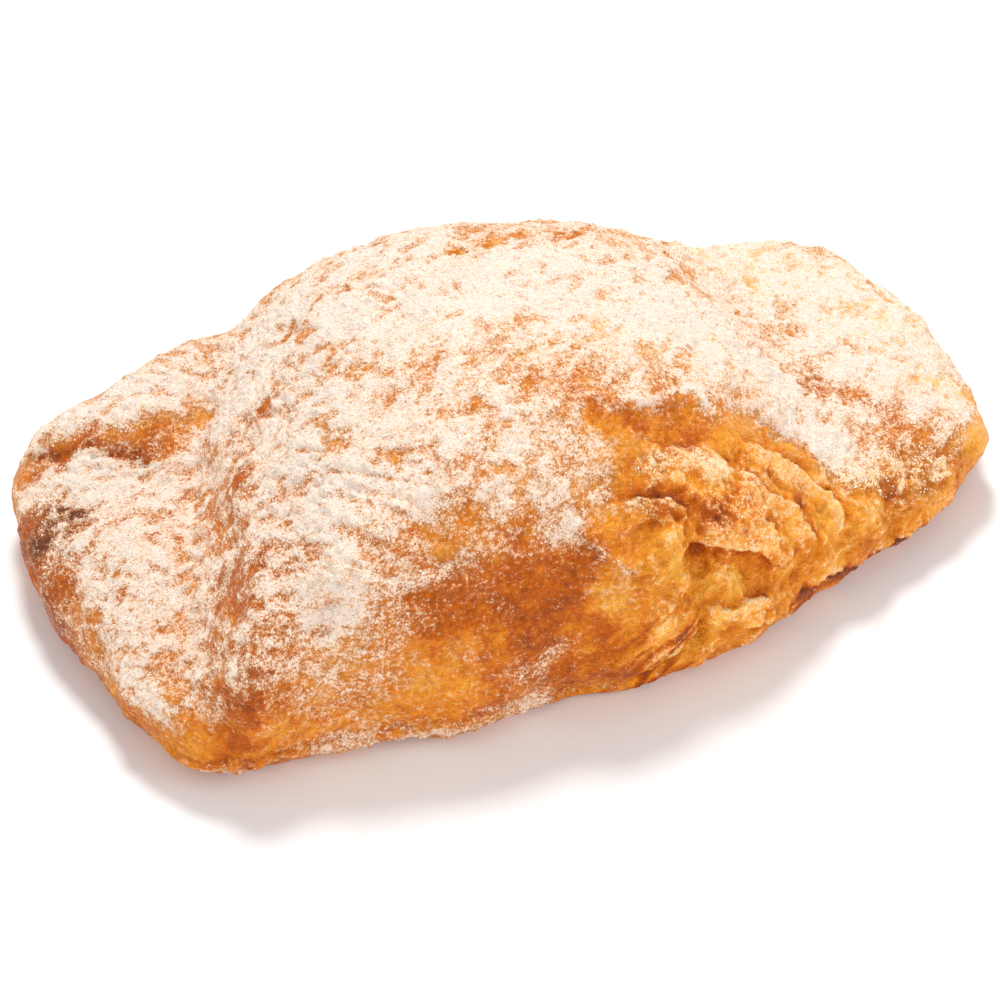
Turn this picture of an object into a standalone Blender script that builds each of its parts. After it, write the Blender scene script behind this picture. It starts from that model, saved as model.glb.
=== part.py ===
"""A baked puff-pastry parcel: one closed pillow of leavened layers, puffed into a dome
between a broad pressed flap at its left end and a narrower one at its right end.

Metres, +Z up. The origin is on the resting plane, under the middle of the outline.
+X runs along the length, and -Y is the side whose layers burst open.
"""

import math
from collections import namedtuple

import bmesh
import bpy
import numpy as np
from mathutils import Vector, noise

MM = 0.001

# Driving sizes of the whole pastry, and the height at which its outline is widest.
LENGTH = 144 * MM
WIDTH = 88 * MM
DOME_HEIGHT = 43 * MM
RIM_HEIGHT = 7 * MM

# The plan as seen from above, anticlockwise from the front left corner, as shares of
# half the length and half the width. A smooth closed curve runs through these points.
PLAN = (
    (-0.86, -0.70),
    (-0.59, -0.77),
    (-0.45, -0.83),
    (-0.32, -0.89),
    (-0.19, -0.89),
    (-0.06, -0.95),
    (0.16, -0.95),
    (0.40, -0.84),
    (0.69, -0.75),
    (0.92, -0.58),
    (0.99, -0.19),
    (0.98, 0.26),
    (0.87, 0.62),
    (0.58, 0.75),
    (0.23, 0.89),
    (-0.14, 1.02),
    (-0.56, 1.03),
    (-0.89, 0.83),
    (-0.97, 0.62),
    (-1.00, 0.05),
    (-0.97, -0.44),
)

# Dents of the outline die out over the dome, which follows the plan averaged this far
# to each side.
DENT_BLUR = 12
DENT_FADE = 6

# The crease that parts the left flap from the dome, and the groove before the right
# flap: each a line in plan, from its back end to its front end, with the height of the
# crust in it and how far the dome takes to rise from it.
LEFT_CREASE = ((-31 * MM, 42 * MM), (-67 * MM, -28 * MM))
CREASE_HEIGHT = 12 * MM
CREASE_REACH = 9.5 * MM
RIGHT_GROOVE = ((50 * MM, 34 * MM), (36 * MM, -38 * MM))
GROOVE_HEIGHT = 13.5 * MM
GROOVE_REACH = 17.5 * MM
VALLEY_SOFTNESS = 4 * MM

# How sharply the crust turns from its top into its side, and how far the side draws in
# under the rim, as a share of the reach.
SHOULDER = 2.4
UNDERCUT = 0.10
TOP_EDGE = 0.93

# Quads along the length, across the width, and up the side under and over the rim. The
# columns are drawn together round the burst, where the crust is most broken.
LONG_QUADS = 72
CROSS_QUADS = 34
UNDER_QUADS = 5
OVER_QUADS = 9
BURST_SHARE = 0.1
CROWDING = 0.25
EVENING_ROUNDS = 3
LAST_ROUNDS = 1

# Mounds and hollows of the crust: the middle in plan, the spread along X and Y, the turn
# in degrees and the height, which is negative for a hollow. All in millimetres.
Mound = namedtuple("Mound", "x y spread_x spread_y turn height")
MOUNDS = (
    Mound(-43, 35.5, 17, 8, 15, 10),
    Mound(-52, 17, 18, 4, 12, -2),
    Mound(-60, 2, 8, 12, 0, 2),
    Mound(62, 6, 14, 26, 0, 3),
    Mound(54, 14, 5, 11, 20, -1.5),
)

# Folds, flakes and tears. Each follows a line on the crust and lifts it by its height,
# or sinks it where that is negative. The lift dies out over one distance on the left of
# the line, seen from outside, and over another on its right, so that unequal distances
# make the edge of a flake. All in millimetres.
Fold = namedtuple("Fold", "height left right line")
FOLDS = (
    # The pressed crease, and the front lobe of the left flap tucked under the back lobe.
    Fold(
        -1.6, 3, 3,
        ((-38, 27, 18), (-46, 14, 16), (-52, 2, 17), (-57, -10, 16), (-63, -23, 13)),
    ),
    Fold(2.2, 8, 2, ((-61, 30, 14), (-58, 27, 16), (-54, 24, 17), (-47, 18, 16), (-43, 15, 16))),
    Fold(-1.4, 1.6, 2.5, ((-63, 31, 13), (-58, 26, 16), (-50, 19.5, 16), (-44, 15, 16))),
    # The shoulder that runs down into the front left corner, and the valley beside it.
    Fold(1.6, 4, 4, ((-44, 1, 25), (-50, -16, 27), (-54, -27, 23), (-57, -31, 13))),
    Fold(-1.3, 4, 4, ((-42, -12, 32), (-46, -26, 27), (-48, -33, 17), (-48, -35, 8))),
    # The lifted edge above the bare patch, and flake edges lower on the front.
    Fold(1.3, 8, 1.8, ((-9, -19, 38), (-2, -19, 38), (5, -21, 36), (17, -22, 31))),
    Fold(0.9, 5, 1.6, ((-8, -35, 27), (-5, -38, 23), (-1, -39, 22))),
    Fold(1.0, 1.5, 2.5, ((1.5, -33, 30), (9, -32, 29), (16, -31, 27))),
    # Wrinkles that run down beside the right groove.
    Fold(1.1, 2, 2, ((24, -12, 31), (29, -19, 26), (31, -21, 24))),
    Fold(1.4, 2.4, 1.6, ((18, -24, 30), (24, -31, 22), (25, -34, 18), (29, -36, 11))),
    Fold(1.3, 2.4, 1.6, ((29, -15, 26), (33, -25, 19), (35, -31, 15), (36, -36, 9))),
    Fold(-1.0, 1.5, 1.5, ((26, -21, 26), (29, -28, 20), (31, -33, 15), (33, -37, 8))),
    # The bulge of dough over the burst, its torn edge and the hollow under it.
    Fold(1.8, 6, 1.6, ((6.5, -38, 23), (12, -39, 21), (16, -38.5, 18), (20, -38, 15))),
    Fold(-1.6, 1.5, 2.2, ((7, -39, 22), (13.5, -39.5, 19), (18, -39.5, 15))),
    Fold(1.2, 3, 3, ((10.5, -41, 17), (11.5, -41, 15.5))),
    # The torn lip at the foot of the burst, and the dark crevice beside and under it.
    Fold(1.3, 1.6, 6, ((6, -42, 14), (12, -42, 12), (19, -40, 9))),
    Fold(-1.4, 1.5, 1.5, ((8.5, -37, 25), (6, -41, 17), (6, -42.5, 12), (5.5, -42.5, 9))),
    Fold(-1.8, 1.8, 1.8, ((5, -42.5, 8), (-1, -42, 5), (-6, -41, 4), (-11, -39, 4))),
    # Stretched layers inside the burst.
    Fold(0.8, 1.6, 1.6, ((3, -42, 16), (-2, -42, 12.5), (-9, -40.5, 8))),
    Fold(0.8, 1.6, 1.6, ((5, -42.5, 12.5), (1, -42, 8.5), (-3, -41.5, 6))),
    Fold(-0.7, 1.5, 1.5, ((4, -42, 14), (-1, -42, 10.5), (-7, -41, 6))),
    # Two small tears near the top, over the back.
    Fold(-1.4, 1.6, 1.2, ((-1, 17, 40), (4, 18, 38.5), (9, 18, 37))),
    Fold(0.9, 1.0, 2.0, ((-1, 15, 40), (4, 15.5, 39), (9, 16, 37.5))),
    Fold(-1.2, 1.4, 1.2, ((14, 19.5, 35.5), (20, 18.5, 34))),
    # The bottom layers show as a foot under the bulging left half of the front.
    Fold(0.9, 1.6, 1.6, ((-49, -34, 1.5), (-32, -37, 1.5), (-21, -40, 1.5), (-16, -39, 1.5))),
    Fold(-1.0, 1.6, 1.6, ((-49, -35, 4.5), (-32, -38, 4.5), (-21, -41, 5), (-16, -40, 5))),
    # The ridge and the nose of the right flap, and the tuck in its front wall.
    Fold(1.3, 3, 3, ((54, -15, 17), (59, -26, 14), (66, -26, 8))),
    Fold(-1.4, 1.6, 1.6, ((43, -25, 17), (43.5, -31, 13), (43.5, -35, 7))),
)

# Uneven swellings of the crust: the size of each kind of swelling and its height.
SWELLINGS = ((14 * MM, 1.1 * MM), (6.5 * MM, 0.6 * MM), (3.6 * MM, 0.35 * MM))

# The crust stays at least this far above the flat underside, all round its edge.
LOWEST_CRUST = 0.3 * MM

CRUST_COLOUR = (0.80, 0.56, 0.33, 1.0)
CRUST_ROUGHNESS = 0.7


def closed_curve(points, steps=24):
    """Points along the smooth closed curve through the given ones (Catmull-Rom)."""
    knots = np.array(points)
    before, after, beyond = (np.roll(knots, shift, axis=0) for shift in (1, -1, -2))
    t = (np.arange(steps) / steps)[:, None, None]
    curve = 0.5 * (
        2 * knots
        + (after - before) * t
        + (2 * before - 5 * knots + 4 * after - beyond) * t**2
        + (3 * knots - 3 * after + beyond - before) * t**3
    )
    return curve.transpose(1, 0, 2).reshape(-1, 2)


def plan_reaches():
    """The distance from the middle to the outline, degree by degree: exact and blurred."""
    outline = closed_curve(PLAN) * (LENGTH / 2, WIDTH / 2)
    around = np.degrees(np.arctan2(outline[:, 1], outline[:, 0]))
    order = np.argsort(around)
    reach = np.hypot(outline[:, 0], outline[:, 1])
    exact = np.interp(np.arange(360), around[order], reach[order], period=360)
    turns = range(-DENT_BLUR, DENT_BLUR + 1)
    return exact, np.mean([np.roll(exact, turn) for turn in turns], axis=0)


def past_line(line, x, y):
    """Signed distance from a line in plan, positive on its +X side."""
    (back_x, back_y), (front_x, front_y) = line
    run_x, run_y = front_x - back_x, front_y - back_y
    return ((y - back_y) * run_x - (x - back_x) * run_y) / math.hypot(run_x, run_y)


def rise(distance, reach):
    """From 0 at a valley's line, steeply at first, to 1 well past it."""
    past = np.hypot(np.maximum(distance, 0), VALLEY_SOFTNESS) - VALLEY_SOFTNESS
    return 1 - np.exp(-past / reach)


def mounds(x, y):
    total = np.zeros_like(x)
    for mound in MOUNDS:
        cos, sin = math.cos(math.radians(mound.turn)), math.sin(math.radians(mound.turn))
        from_x, from_y = x / MM - mound.x, y / MM - mound.y
        along = (from_x * cos + from_y * sin) / mound.spread_x
        across = (from_y * cos - from_x * sin) / mound.spread_y
        total += mound.height * MM * np.exp(-(along**2) - across**2)
    return total


def puff(x, y):
    """How far the crust rises above its rim, before it rounds off to the outline."""
    full = DOME_HEIGHT - RIM_HEIGHT
    from_left = CREASE_HEIGHT + (full - CREASE_HEIGHT) * rise(
        past_line(LEFT_CREASE, x, y), CREASE_REACH
    )
    from_right = GROOVE_HEIGHT + (full - GROOVE_HEIGHT) * rise(
        -past_line(RIGHT_GROOVE, x, y), GROOVE_REACH
    )
    return from_left * from_right / full + mounds(x, y)


def skin(a, b, c):
    """The place on the smooth pastry of a point of the slab, whose corners are at +-1."""
    a = a - CROWDING / math.pi * (
        np.sin(math.pi * (a - BURST_SHARE)) - math.sin(math.pi * BURST_SHARE)
    )
    share = np.maximum(np.abs(a), np.abs(b))
    angle = np.arctan2(b * WIDTH, a * LENGTH)
    on_side = share > 1 - 1e-6
    # Up the side, the point turns from the contact's edge out to the rim and in again.
    rim = 2 * UNDER_QUADS / (UNDER_QUADS + OVER_QUADS) - 1
    low_turn = np.clip((rim - c) / (rim + 1), 0, 1) * math.pi / 2
    high_turn = np.clip((c - rim) / (1 - rim), 0, 1) * math.acos(TOP_EDGE ** (SHOULDER / 2))
    side = np.where(
        c < rim,
        1 - UNDERCUT * (1 - np.cos(low_turn)),
        np.cos(high_turn) ** (2 / SHOULDER),
    )
    inside = share * np.where(c > 0, TOP_EDGE, 1 - UNDERCUT)
    rho = np.where(on_side, side, inside)
    exact, blurred = (
        np.interp(np.degrees(angle), np.arange(360), reach, period=360)
        for reach in plan_reaches()
    )
    reach = rho * (blurred + (exact - blurred) * rho**DENT_FADE)
    x, y = reach * np.cos(angle), reach * np.sin(angle)
    rounding = np.clip(1 - rho**SHOULDER, 0, 1) ** (1 / SHOULDER)
    high = RIM_HEIGHT + puff(x, y) * rounding
    low = np.where(on_side, RIM_HEIGHT * (1 - np.sin(low_turn)), 0)
    return np.stack([x, y, np.where(c >= rim, high, low)], axis=1)


def slab():
    """A flat block cut into quads on its top and sides, from -1 to 1 along each axis."""
    mesh = bmesh.new()
    bmesh.ops.create_cube(mesh, size=2)
    for axis, quads in enumerate((LONG_QUADS, CROSS_QUADS, UNDER_QUADS + OVER_QUADS)):
        along = [
            edge
            for edge in mesh.edges
            if abs(edge.verts[0].co[axis] - edge.verts[1].co[axis]) > 1e-6
        ]
        bmesh.ops.subdivide_edges(mesh, edges=along, cuts=quads - 1, use_grid_fill=True)
    underside = [face for face in mesh.faces if face.calc_center_median().z < -1 + 1e-6]
    bmesh.ops.dissolve_faces(mesh, faces=underside, use_verts=False)
    return mesh


def fold_lift(fold, places, normals):
    """How far one fold lifts each place of the crust."""
    line = np.array(fold.line) * MM
    nearest = np.full(len(places), np.inf)
    lift = np.zeros(len(places))
    for start, end in zip(line, line[1:]):
        run = end - start
        share = np.clip((places - start) @ run / (run @ run), 0, 1)
        away = places - start - share[:, None] * run
        distance = np.linalg.norm(away, axis=1)
        on_left = np.einsum("ij,ij->i", np.cross(normals, run), away) > 0
        spread = np.where(on_left, fold.left, fold.right) * MM
        nearer = distance < nearest
        lift[nearer] = np.exp(-((distance / spread) ** 2))[nearer]
        nearest[nearer] = distance[nearer]
    return fold.height * MM * lift


def swelling(place):
    """The uneven swelling of the crust at one place."""
    return sum(
        height * noise.noise(Vector(place) / size, noise_basis="BLENDER")
        for size, height in SWELLINGS
    )


def even_out(mesh, verts, rounds):
    for _ in range(rounds):
        bmesh.ops.smooth_vert(
            mesh, verts=verts, factor=0.5, use_axis_x=True, use_axis_y=True, use_axis_z=True
        )
    mesh.normal_update()


def pastry():
    mesh = slab()
    box = np.array([vert.co for vert in mesh.verts])
    for vert, place in zip(mesh.verts, skin(*box.T)):
        vert.co = place
    bmesh.ops.recalc_face_normals(mesh, faces=mesh.faces)
    crust = [vert for vert in mesh.verts if vert.co.z > 1e-6]
    even_out(mesh, crust, EVENING_ROUNDS)
    places = np.array([vert.co for vert in crust])
    normals = np.array([vert.normal for vert in crust])
    lift = sum(fold_lift(fold, places, normals) for fold in FOLDS)
    lift += np.array([swelling(place) for place in places])
    for vert, place in zip(crust, places + normals * lift[:, None]):
        vert.co = place
        vert.co.z = max(vert.co.z, LOWEST_CRUST)
    even_out(mesh, crust, LAST_ROUNDS)
    corners = np.array([vert.co for vert in mesh.verts])
    middle = (corners.min(axis=0) + corners.max(axis=0)) / 2
    bmesh.ops.translate(mesh, verts=mesh.verts, vec=(-middle[0], -middle[1], 0))
    data = bpy.data.meshes.new("pastry")
    mesh.to_mesh(data)
    mesh.free()
    data.shade_smooth()
    data.materials.append(sugared_crust())
    obj = bpy.data.objects.new("pastry", data)
    bpy.context.scene.collection.objects.link(obj)
    return obj


def sugared_crust():
    material = bpy.data.materials.new("sugared crust")
    material.use_nodes = True
    shader = material.node_tree.nodes["Principled BSDF"]
    shader.inputs["Base Color"].default_value = CRUST_COLOUR
    shader.inputs["Roughness"].default_value = CRUST_ROUGHNESS
    shader.inputs["Metallic"].default_value = 0.0
    return material


def main():
    for old in list(bpy.data.objects):
        bpy.data.objects.remove(old)
    pastry()


if __name__ == "__main__":
    main()
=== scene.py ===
"""A puff pastry parcel, baked golden and dusted with icing sugar: one crust and its sugar."""

import math

import bmesh
import bpy
import numpy as np
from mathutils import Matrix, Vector, noise


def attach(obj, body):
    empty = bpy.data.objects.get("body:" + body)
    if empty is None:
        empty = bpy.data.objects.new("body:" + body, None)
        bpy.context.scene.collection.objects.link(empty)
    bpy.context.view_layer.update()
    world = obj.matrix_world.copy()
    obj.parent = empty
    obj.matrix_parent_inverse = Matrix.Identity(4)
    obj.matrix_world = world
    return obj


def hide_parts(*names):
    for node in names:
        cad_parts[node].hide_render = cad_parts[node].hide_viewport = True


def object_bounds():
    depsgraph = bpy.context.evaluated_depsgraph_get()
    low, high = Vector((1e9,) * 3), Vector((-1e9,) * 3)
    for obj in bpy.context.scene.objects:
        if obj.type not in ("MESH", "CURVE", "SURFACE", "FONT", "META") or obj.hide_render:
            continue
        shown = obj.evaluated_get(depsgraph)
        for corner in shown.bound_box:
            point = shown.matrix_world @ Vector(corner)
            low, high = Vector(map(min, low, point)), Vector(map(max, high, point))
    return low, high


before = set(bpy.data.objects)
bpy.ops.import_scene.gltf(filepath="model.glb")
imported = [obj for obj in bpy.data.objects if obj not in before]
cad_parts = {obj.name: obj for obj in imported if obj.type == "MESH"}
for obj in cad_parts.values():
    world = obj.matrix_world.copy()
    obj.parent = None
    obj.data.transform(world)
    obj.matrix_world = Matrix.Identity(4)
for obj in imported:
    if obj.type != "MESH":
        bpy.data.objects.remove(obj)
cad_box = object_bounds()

# ---------------------------------------------------------------------------------------------
# The crust. Rolled puff pastry folded over its filling and baked on a tray: it blisters and
# wrinkles on top, tears into thin layers where steam burst out at the front, and browns most
# where it stands up or lies against the tray. All lengths here are millimetres.
# ---------------------------------------------------------------------------------------------

MM = 0.001
SKIN_GRAIN = 0.46  # spacing of the skin's points before thinning out
SKIN_TRIANGLES = 196000
SKIN_SMOOTHINGS = 6
BOX_GAP = 0.12  # the crust ends this far inside the solid's box, which leaves room for sugar
WELD = 0.001  # points closer than this are one point


def welded_copy(node, name):
    """A copy of a solid's loose triangles, joined into one closed skin."""
    skin = bmesh.new()
    skin.from_mesh(bpy.data.objects[node].data)
    bmesh.ops.remove_doubles(skin, verts=skin.verts, dist=WELD * MM)
    mesh = bpy.data.meshes.new(name)
    skin.to_mesh(mesh)
    skin.free()
    piece = bpy.data.objects.new(name, mesh)
    bpy.context.scene.collection.objects.link(piece)
    return piece


def bake_modifiers(piece):
    """Turns the piece's live modifiers into its plain mesh."""
    graph = bpy.context.evaluated_depsgraph_get()
    mesh = bpy.data.meshes.new_from_object(piece.evaluated_get(graph), depsgraph=graph)
    piece.modifiers.clear()
    piece.data = mesh


def positions(mesh):
    """The mesh's points as rows of x, y, z in millimetres."""
    flat = np.empty(len(mesh.vertices) * 3, dtype=np.float32)
    mesh.vertices.foreach_get("co", flat)
    return flat.reshape(-1, 3).astype(float) / MM


def outward(mesh):
    """The way each point of the mesh faces."""
    flat = np.empty(len(mesh.vertices) * 3, dtype=np.float32)
    mesh.vertex_normals.foreach_get("vector", flat)
    return flat.reshape(-1, 3).astype(float)


def ease(low, high, value):
    """0 below low, 1 above high, and a smooth step between."""
    share = np.clip((value - low) / (high - low), 0, 1)
    return share * share * (3 - 2 * share)


def lumps(points, size, seed, stretch=(1, 1, 1)):
    """Smooth random height from -1 to 1, in bumps about size across, longer by stretch."""
    shift = np.array((17.3, -9.1, 5.7)) * seed
    places = points / (size * np.array(stretch)) + shift
    return np.array([noise.noise(place) for place in places.tolist()])


def rolling(points, seed, waves, step=1):
    """Waves of smooth random height. Each is how high it goes and how long it is."""
    return sum(
        height * lumps(points, length, seed + step * turn)
        for turn, (height, length) in enumerate(waves)
    )


def wander(points, seed, waves):
    """The points moved a little at random, so that what is drawn by them runs ragged."""
    moves = [rolling(points, seed + axis, waves, step=3) for axis in range(3)]
    return points + np.stack(moves, axis=1)


def beside(points, normals, line):
    """For each point: how far the line is, how far the point lies to the left of it as seen
    from outside, and how far along it the nearest place is, from 0 to 1."""
    line = np.array(line, dtype=float)
    steps = np.diff(line, axis=0)
    lengths = np.linalg.norm(steps, axis=1)
    starts = np.concatenate(([0], np.cumsum(lengths)))
    far = np.full(len(points), 1e9)
    left = np.zeros(len(points))
    along = np.zeros(len(points))
    for start, step, length, before in zip(line, steps, lengths, starts):
        offset = points - start
        share = np.clip(offset @ step / length**2, 0, 1)
        away = offset - share[:, None] * step
        distance = np.linalg.norm(away, axis=1)
        nearer = distance < far
        side = np.einsum("ij,ij->i", away, np.cross(normals, step / length))
        far = np.where(nearer, distance, far)
        left = np.where(nearer, side, left)
        along = np.where(nearer, (before + share * length) / starts[-1], along)
    return far, left, along


# Each crease, ridge and torn edge: how much it lifts the skin, how wide it is, and the line it
# follows over the crust. A ledge stands proud on the left of its line and drops to its right.
RIDGES = (
    ("back lobe", 0.35, 2.6,
     ((-59.6, 29.6, 17.4), (-53.7, 29.7, 19.1), (-48.6, 27.2, 20.3), (-43, 24, 19.5))),
    ("dome shoulder", 0.45, 2.2,
     ((-44.5, -1.4, 26.4), (-49.3, -16.6, 25.8), (-53.8, -28.2, 22.6), (-57.3, -33.5, 13.7))),
    ("bulge", 0.5, 3.0, ((11, -38, 22.5), (16.5, -38.3, 20.5))),
    ("flap ridge", 0.7, 1.8, ((56.2, -21.1, 16.7), (58.5, -28, 14.2), (64, -28.1, 10.1))),
    ("lip foot", 0.35, 0.9, ((18.3, -43.3, 7.8), (14.1, -43, 3.8), (5.9, -43.1, 6.1))),
)
CREASES = (
    ("fold between the lobes", 0.9, 0.9,
     ((-63.3, 31.1, 13.1), (-58.4, 24.9, 16.4), (-53.7, 22, 17.2), (-50.5, 19.5, 16))),
    ("crease beside the dome", 0.5, 1.0,
     ((-38.6, 23.6, 19.1), (-45.9, 13.8, 15.3), (-52.3, 0.4, 16.5), (-56.6, -9.9, 14.7),
      (-60.2, -16.9, 13.6), (-63, -23.7, 11.8))),
    ("valley before the shoulder", 0.45, 2.0,
     ((-48.1, -24.3, 26.6), (-49.4, -29.8, 21.9), (-49.7, -32.5, 13.4))),
    ("standing crevice", 0.7, 0.9,
     ((8.9, -37.9, 24.4), (7.8, -39.6, 19.7), (6.4, -41.8, 16), (6.5, -43.1, 11.1),
      (6.4, -42.9, 7.5))),
    ("burst", 1.4, 0.75,
     ((6.5, -42.7, 8.6), (4, -42.9, 5.9), (-0.1, -42, 3.5), (-5.2, -41.4, 2.6), (-10, -39.5, 2),
      (-14, -39.2, 2.6))),
    ("tuck by the flap", 0.8, 1.3, ((43.9, -32.8, 12.8), (43.6, -35.8, 6.9))),
    ("under the bulge", 0.25, 1.2,
     ((6.8, -38.8, 21.7), (11.8, -40.1, 18.4), (15.2, -39.9, 17.7), (19.7, -40.6, 16.3))),
)
LEDGES = (
    ("sugared edge over the bare patch", 0.45, 1.6,
     ((-2, -21.3, 38.4), (4.8, -23.1, 37), (9.8, -23.3, 35.4), (16.2, -23.6, 33),
      (20, -23.8, 31.2))),
    ("edge under the bare patch", 0.6, 2.2,
     ((16.7, -28.1, 29.4), (12.3, -28.7, 30.4), (7.5, -28.4, 32.1), (4.9, -27.4, 33.6))),
    ("scale over the bulge", 0.8, 2.2,
     ((7.3, -37.5, 25.8), (5, -35.7, 29), (0.6, -35, 30.3), (-4.8, -33.5, 31.4))),
    ("bulge's right side", 0.7, 2.6,
     ((20.7, -39.8, 17.1), (20.7, -38.1, 18.6), (19.2, -37.1, 20.7), (19.7, -35.2, 22.4),
      (19.2, -34, 24.1), (16.8, -33.8, 25.7))),
    ("first fold", 1.2, 2.2,
     ((28.6, -38.8, 12.8), (27.5, -37.6, 15.3), (25.8, -36.4, 18.3), (24, -35.2, 20.6),
      (21.7, -34, 22.5), (19.8, -33, 24.8), (18.1, -31.4, 26.7))),
    ("second fold", 1.3, 2.4,
     ((34.5, -37.4, 11.7), (33.9, -35.5, 13.8), (33.7, -33, 15.3), (31.9, -30.8, 17.2),
      (28.9, -29.4, 20), (24.1, -29.9, 24.9), (20.8, -28.2, 28.2))),
    ("third fold", 1.0, 1.8,
     ((35.2, -32.2, 15.8), (34, -29.6, 17.7), (31.7, -27.6, 20), (29.4, -25.6, 22.3),
      (26.3, -23.5, 25.7))),
    ("lifted flake", 1.0, 2.4,
     ((-10.5, -35.6, 29), (-8.4, -36.7, 27.6), (-7, -38.5, 25.7), (-5.3, -40.5, 23.5),
      (-1.7, -41.2, 22.6))),
    ("dough bulge", 0.45, 3.0,
     ((5.5, -38, 22.5), (7.4, -38.5, 22), (11.7, -40, 20.8), (15.9, -40, 18.4),
      (20.5, -40.7, 14.5))),
    ("upper layer", 0.9, 1.6, ((2.4, -43.5, 16.2), (-2.7, -44, 13.3), (-8.7, -42.1, 8))),
    ("middle layer", 0.8, 1.3, ((5, -43, 12.5), (1, -43.5, 9.4), (-4.5, -42.8, 5.8))),
    ("lower layer", 0.7, 1.2, ((6.5, -43.1, 11.1), (2.8, -42.4, 6.9), (-1.9, -41.8, 3.3))),
    ("torn lip", 1.1, 2.2,
     ((17.9, -42.9, 10.6), (14.5, -43.6, 12.2), (11.5, -43.7, 13), (6.6, -43, 13.8))),
    ("foot of the front", 1.0, 1.6,
     ((-15.5, -39.3, 4.2), (-18.8, -39.5, 5.2), (-23.6, -39.7, 5.6), (-30.8, -38.5, 5.3),
      (-37.1, -35.4, 4.2), (-44.1, -33.9, 4), (-51, -32.8, 4.4), (-57.6, -33, 5), (-64, -29.6, 5.5),
      (-69, -20, 5))),
    ("top tear", 0.5, 1.5, ((-2.5, 17.6, 38), (4, 18.4, 36.8), (11.5, 18.6, 35))),
    ("underside rim", 0.5, 2.0,
     ((24.4, -40.4, 7.2), (35.2, -37.7, 4.7), (42.2, -36.4, 4.7), (49.7, -34.9, 4.6),
      (58, -33, 4.6))),
)

crust = welded_copy("pastry", "crust")
smoother = crust.modifiers.new("fair", "SUBSURF")
smoother.levels = smoother.render_levels = 1
grain = crust.modifiers.new("grain", "REMESH")
grain.mode = "VOXEL"
grain.voxel_size = SKIN_GRAIN * MM
bake_modifiers(crust)

skin = bmesh.new()
skin.from_mesh(crust.data)
for _ in range(SKIN_SMOOTHINGS):
    bmesh.ops.smooth_vert(
        skin, verts=skin.verts, factor=0.5, use_axis_x=True, use_axis_y=True, use_axis_z=True
    )
skin.to_mesh(crust.data)
skin.free()

points = positions(crust.data)
normals = outward(crust.data)
upward = normals[:, 2]
x, y, z = points.T

# The crust's regions. Each is 1 inside and fades out between the millimetres given.
above_tray = ease(0.3, 2.5, z)
front = ease(-26, -32, y)
torn = front * ease(-6, 2, x) * ease(70, 60, x)
in_folds = ease(-24, -28, y) * ease(4, 12, x) * ease(10, 14, z) * ease(46, 38, x)
layered = front * ease(-9, -4, x) * ease(9, 5, x) * ease(18, 14, z)
foot = front * ease(7, 5, z) * ease(-12, -16, x)
back_rim = ease(10, 20, y) * ease(9, 6, z)

LINE_WANDER = ((0.9, 3.0), (0.35, 1.0))  # how far the drawn lines stray, and over what length
DROP_WIDTH = 0.3  # a ledge drops over this far to each side of its line
END_SHARE = 0.12  # and fades out over this share of the line at each end
GAP_DEPTH = 0.3  # the gap under a ledge, as a share of the ledge's height
GAP_REACH = 0.5  # and of its reach
EDGE_CATCH = 0.6  # how far in from a ledge's edge sugar catches

ragged = wander(points, 1, LINE_WANDER)
relief = np.zeros(len(points))
for _, height, width, line in RIDGES:
    far, _, _ = beside(ragged, normals, line)
    relief += height * np.exp(-((far / width) ** 2))
for _, depth, width, line in CREASES:
    far, _, _ = beside(ragged, normals, line)
    relief -= depth * np.exp(-((far / width) ** 2))
in_gap = np.zeros(len(points))  # 1 in the gaps under the ledges
on_edge = np.zeros(len(points))  # 1 along their edges
for _, height, reach, line in LEDGES:
    _, left, along = beside(ragged, normals, line)
    ends = ease(0, END_SHARE, along) * ease(1, 1 - END_SHARE, along)
    proud = ease(-DROP_WIDTH, DROP_WIDTH, left) * np.exp(-np.maximum(left, 0) / reach)
    under = ease(DROP_WIDTH, -DROP_WIDTH, left)
    under *= np.exp(-np.maximum(-left, 0) / (GAP_REACH * reach))
    relief += height * ends * (proud - GAP_DEPTH * under)
    in_gap = np.maximum(in_gap, ends * under)
    catch = ease(-0.2, 0.2, left) * np.exp(-np.maximum(left, 0) / EDGE_CATCH)
    on_edge = np.maximum(on_edge, ends * catch)
drawn = relief.copy()

BLISTERS = ((0.55, 8.0), (0.45, 4.0), (0.26, 2.2))  # how high and how long
WRINKLE_TURN = math.radians(35)  # the wrinkles swing round from the left lobes to the dome
WRINKLE_HEIGHT = 0.2
CRUMBLE_HEIGHT = 0.10
TORN_CRUMBLE_HEIGHT = 0.34
FOLD_HEIGHT = 0.6
FOLD_AXES = ((0.59, -0.40, -0.71), (0.72, 0.65, 0.23), (0.37, -0.65, 0.67))  # along first
GRIT_HEIGHT = 0.13
TORN_GRIT_HEIGHT = 0.15
DUST_HEIGHT = 0.08
LAYER_HEIGHT = 0.55
LAYER_RISE = 0.78  # the bared layers climb this much to the right
FOOT_WAVES = ((0.7, 2.0), (0.4, 0.9))  # the flange along the foot, where dough ran out

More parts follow.
